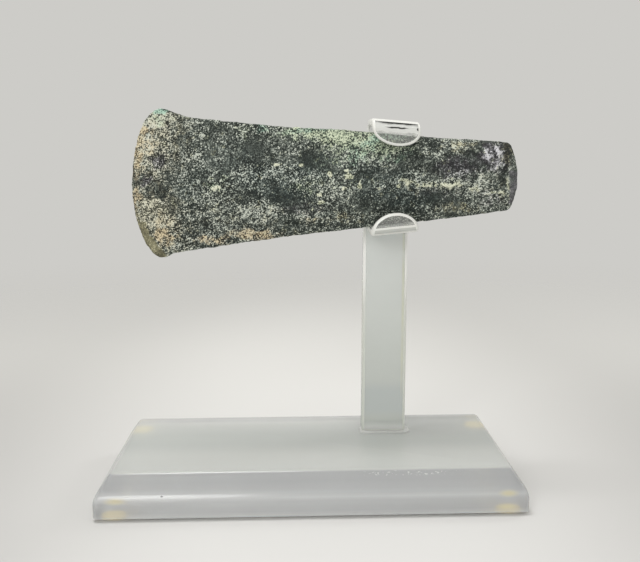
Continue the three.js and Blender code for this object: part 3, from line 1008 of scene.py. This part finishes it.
def makePads(material):
    for number in range(1, 5):
        low, high = (Vector(corner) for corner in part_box(f"foot_pad_{number}"))
        middle = (low + high) / 2
        top = high.z + padSet["inBlock"] * mm
        bpy.ops.object.select_all(action="DESELECT")
        bpy.ops.mesh.primitive_cylinder_add(
            vertices=40, radius=padSet["radius"] * mm, depth=top - low.z,
            location=(middle.x, middle.y, (top + low.z) / 2),
        )
        pad = bpy.context.object
        pad.name = f"pad_{number}"
        settle(pad)
        edge = pad.modifiers.new("edge", "BEVEL")
        edge.width = padSet["edge"] * mm
        edge.segments = 3
        edge.limit_method = "ANGLE"
        applyAll(pad)
        bpy.ops.object.shade_smooth_by_angle(angle=math.radians(40))
        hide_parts(f"foot_pad_{number}")
        wear(pad, "pad", material)


def padFoam():
    foam = Recipe("yellowedPad")
    cloud = foam.noise(1.5, 4, 0.6)
    yellow = foam.blend(cloud, tint(240, 216, 150), tint(250, 236, 190))
    surface = foam.shader({
        "Base Color": yellow,
        "Roughness": 0.7,
        # painted light: the pads glow a little, standing in for the light that reaches them through
        # the block
        "Emission Color": yellow,
        "Emission Strength": 0.28,
    })
    return foam.finish(surface)


# Cradle, bent from a flat strip

cradleSet = {
    "width": 14.8,  # mm
    "thickness": 2.3,
    "bend": 2.15,  # radius of the strip's middle
    "lowerLip": 3.4,
    "upperLip": 4.5,
    "lowerRound": 6.0,  # how far each rounded end reaches along the strip
    "upperRound": 4.7,
    "lowerLean": 0.3,  # how far each end leans towards the butt
    "upperLean": 1.2,
    "higher": 0.45,
    "turn": 5.19,  # how far each shelf turns with the axe's taper, degrees
    "middle": 26.8,
    "rim": 0.8,
    "paintedHighlights": ((3.85, 4.3), (5.4, 6.2)),  # painted highlights: bands along the bends, from each tip
    # painted highlight band on the upper bend, from the upper tip
    "paintedHighlightsUpper": ((6.4, 9.7),),
    # painted sheen: a greyer milky band round the lower bend's outer face, between its highlights
    "paintedSheen": (4.3, 5.4),
    "flat": 0.995,  # least part of a flat face's normal that is square to the strip
    "bendCuts": 14,
    "flatCuts": 12,
}


# Painted reflection and shade: in the upper tab the bend behind is painted as a pale band with dark
# streaks in it.
tabSet = {
    "middle": 27,  # mm
    "slope": 0.09,  # of the band and streaks
    "paintedPaleBand": (113.0, 113.8, 115.6, 116.4),  # heights between which the band comes and goes, mm
    # middle x and z, reach along and across
    "paintedStreaks": [(27.2, 114.9, 3.8, 0.3), (27.5, 116.3, 8.0, 0.34), (33.6, 114.9, 0.5, 0.6)],
    # painted shade of the streaks
    "dark": tint(34, 34, 32),
    "inFront": (-6.2, -5.6),
}


def tabLevel(sheet, size, detail, wander):
    # the height along the slope, made uneven by noise
    slope = (sheet.x - tabSet["middle"]) * tabSet["slope"]
    return sheet.z + slope + (sheet.noise(size, detail) - 0.5) * wander


def paintedStreaksOf(sheet):
    level = tabLevel(sheet, 1.6, 1, 0.5)
    total = 0
    for streak in tabSet["paintedStreaks"]:
        total = sheet.oval(*streak, 0.5, 1.3, level) + total
    return sheet.limit(total)


def tabShade(sheet, plain):
    # painted shade: dark streaks
    return sheet.blend(paintedStreaksOf(sheet), plain, tabSet["dark"])


def tabPaintedBand(sheet):
    # painted reflection: a pale band, and the streaks, made cloudier in front
    inFront = 1 - sheet.rise(sheet.y, *tabSet["inFront"])
    paintedPaleBand = sheet.between(tabLevel(sheet, 2.2, 2, 1.2), *tabSet["paintedPaleBand"])
    return (paintedPaleBand * 0.6 + paintedStreaksOf(sheet) * 0.8) * inFront


def walkStrip(distance, moves, start):
    # the depth, height and heading at a distance along the bent strip
    depth, height, heading = start
    for length, turn in moves:
        step = min(distance, length)
        if turn:
            radius = length / turn
            angle = step / radius
            depth += radius * (math.sin(heading + angle) - math.sin(heading))
            height -= radius * (math.cos(heading + angle) - math.cos(heading))
            heading += angle
        else:
            depth += step * math.cos(heading)
            height += step * math.sin(heading)
        distance -= step
        if distance <= 0:
            break
    return depth, height, heading


def makeCradle(material, rimMaterial, sheenMaterial):
    low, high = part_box("cradle")
    half = cradleSet["width"] / 2
    wall = cradleSet["thickness"]
    turn = math.radians(cradleSet["turn"])
    rise = half * math.sin(turn) + wall / 2 * math.cos(turn)
    lowerShelf = low[2] / mm + rise
    upperShelf = high[2] / mm - rise + cradleSet["higher"]
    plate = high[1] / mm - wall / 2
    bend = cradleSet["bend"]
    quarter = (bend * math.pi / 2, math.pi / 2)
    shelf = (2 * (plate - bend), 0)
    back = (upperShelf - lowerShelf - 2 * bend, 0)
    moves = [
        (cradleSet["lowerLip"], 0), quarter, shelf, quarter, back,
        quarter, shelf, quarter, (cradleSet["upperLip"], 0),
    ]
    total = sum(length for length, turned in moves)
    start = (-plate, lowerShelf + bend + cradleSet["lowerLip"], -math.pi / 2)

    # flat strip with half-round ends and rounded rims
    bpy.ops.object.select_all(action="DESELECT")
    bpy.ops.mesh.primitive_plane_add(size=1)
    cradle = bpy.context.object
    cradle.name = "cradle_strip"
    cradle.scale = (2 * half * mm, total * mm, 1)
    settle(cradle)
    editAll(cradle)
    bpy.ops.mesh.bevel(offset=0.9995 * half * mm, segments=26, affect="VERTICES")
    bpy.ops.mesh.remove_doubles(threshold=0.02 * mm)
    bpy.ops.mesh.select_all(action="SELECT")
    bpy.ops.mesh.extrude_region_move(TRANSFORM_OT_translate={"value": (0, 0, wall * mm)})
    bpy.ops.mesh.select_all(action="SELECT")
    bpy.ops.transform.translate(value=(0, 0, -wall / 2 * mm))
    bpy.ops.mesh.normals_make_consistent(inside=False)
    leaveEdit()
    for end, reach in ((-1, cradleSet["lowerRound"]), (1, cradleSet["upperRound"])):
        joint = (total / 2 - half) * mm
        selectWhere(cradle, lambda place: place.y * end > joint - 0.1 * mm)
        bpy.ops.transform.resize(
            value=(1, reach / half, 1), center_override=(0, end * total / 2 * mm, 0)
        )
        leaveEdit()
    selectWhere(cradle, lambda a, b: abs(a.z - b.z) < 0.1 * mm, "EDGE")
    bpy.ops.mesh.bevel(offset=cradleSet["rim"] * mm, segments=7)
    bpy.ops.mesh.select_all(action="SELECT")
    bpy.ops.mesh.remove_doubles(threshold=0.01 * mm)
    begin = 0
    for length, turned in moves:
        cuts = cradleSet["bendCuts" if turned else "flatCuts"]
        for cut in range(cuts):
            place = (begin + length * cut / cuts - total / 2) * mm
            bpy.ops.mesh.select_all(action="SELECT")
            bpy.ops.mesh.bisect(plane_co=(0, place, 0), plane_no=(0, 1, 0))
        begin += length
    leaveEdit()
    for each in (material, rimMaterial, sheenMaterial):
        cradle.data.materials.append(each)
    flat = cradleSet["flat"]
    sheenFrom, sheenTo = cradleSet["paintedSheen"]
    # the rims take the second material, and so do the painted highlight bands on the bends' outer
    # faces
    for face in cradle.data.polygons:
        fromTip = face.center.y / mm + total / 2
        bands = [begins < fromTip < ends for begins, ends in cradleSet["paintedHighlights"]]
        bands += [begins < total - fromTip < ends for begins, ends in cradleSet["paintedHighlightsUpper"]]
        outside = face.normal.z > flat
        face.material_index = int(abs(face.normal.z) < flat or (outside and any(bands)))
        # painted sheen on the lower bend
        if outside and sheenFrom < fromTip < sheenTo:
            face.material_index = 2

    # bent round the axe, each shelf turned with its taper
    lip = (cradleSet["lowerLip"], cradleSet["upperLip"])
    for vertex in cradle.data.vertices:
        side, distance, outwards = vertex.co / mm
        distance = min(max(distance + total / 2, 0), total)
        side += cradleSet["lowerLean"] * max(1 - distance / (lip[0] + quarter[0]), 0)
        side += cradleSet["upperLean"] * max(1 - (total - distance) / (lip[1] + quarter[0]), 0)
        depth, height, heading = walkStrip(distance, moves, start)
        upness = (height - lowerShelf - bend) / back[0] if depth > 0 else round(distance / total)
        upness = min(max(upness, 0), 1)
        pivot = lowerShelf + (upperShelf - lowerShelf) * upness
        angle = turn * (2 * upness - 1)
        depth += outwards * math.sin(heading)
        up = height - outwards * math.cos(heading) - pivot
        vertex.co = Vector((
            cradleSet["middle"] + side * math.cos(angle) + up * math.sin(angle),
            depth,
            pivot + up * math.cos(angle) - side * math.sin(angle),
        )) * mm
    editAll(cradle)
    bpy.ops.mesh.normals_make_consistent(inside=False)
    leaveEdit()
    bpy.ops.object.shade_smooth_by_angle(angle=math.radians(30))
    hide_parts("cradle")
    return wear(cradle, "clear_acrylic", material, rimMaterial, sheenMaterial)


makeCamera()
makeStudio()
print("studio ready")
makeAxe(corrodedBronze())
print("axe ready")
makeBlock(acrylic(
    "blockAcrylic", tint(248, 250, 249), 0.16, 0.45, tint(250, 252, 247), blockShade
))
hazyPost = acrylic("postAcrylic", tint(246, 250, 248), 0.2, 0.47, tint(252, 255, 253), postShade)
postEdge = acrylic(
    "postEdge", tint(252, 253, 249), 0.25, 0.6, tint(255, 255, 252), edgeShade, paintedEdgeHighlight
)
# the strip's milky cut edges, and painted highlights on the cradle's bends
rimAndPaintedHighlight = acrylic("rimAndPaintedHighlight", tint(253, 253, 248), 0.3, 0.9)
makePost(hazyPost, postEdge)
makeWeld(acrylic("weldAcrylic", tint(252, 253, 251), 0.08, 0.48, tint(255, 255, 253)))
clearSheet = acrylic(
    "clearAcrylic", tint(252, 253, 252), 0.04, 0.13, tint(250, 251, 247), tabShade, tabPaintedBand
)
# painted sheen of the lower bend
paintedBendSheen = acrylic("paintedBendSheen", tint(250, 251, 248), 0.2, 0.75, tint(224, 226, 221))
makeCradle(clearSheet, rimAndPaintedHighlight, paintedBendSheen)
makePads(padFoam())
print("stand ready")
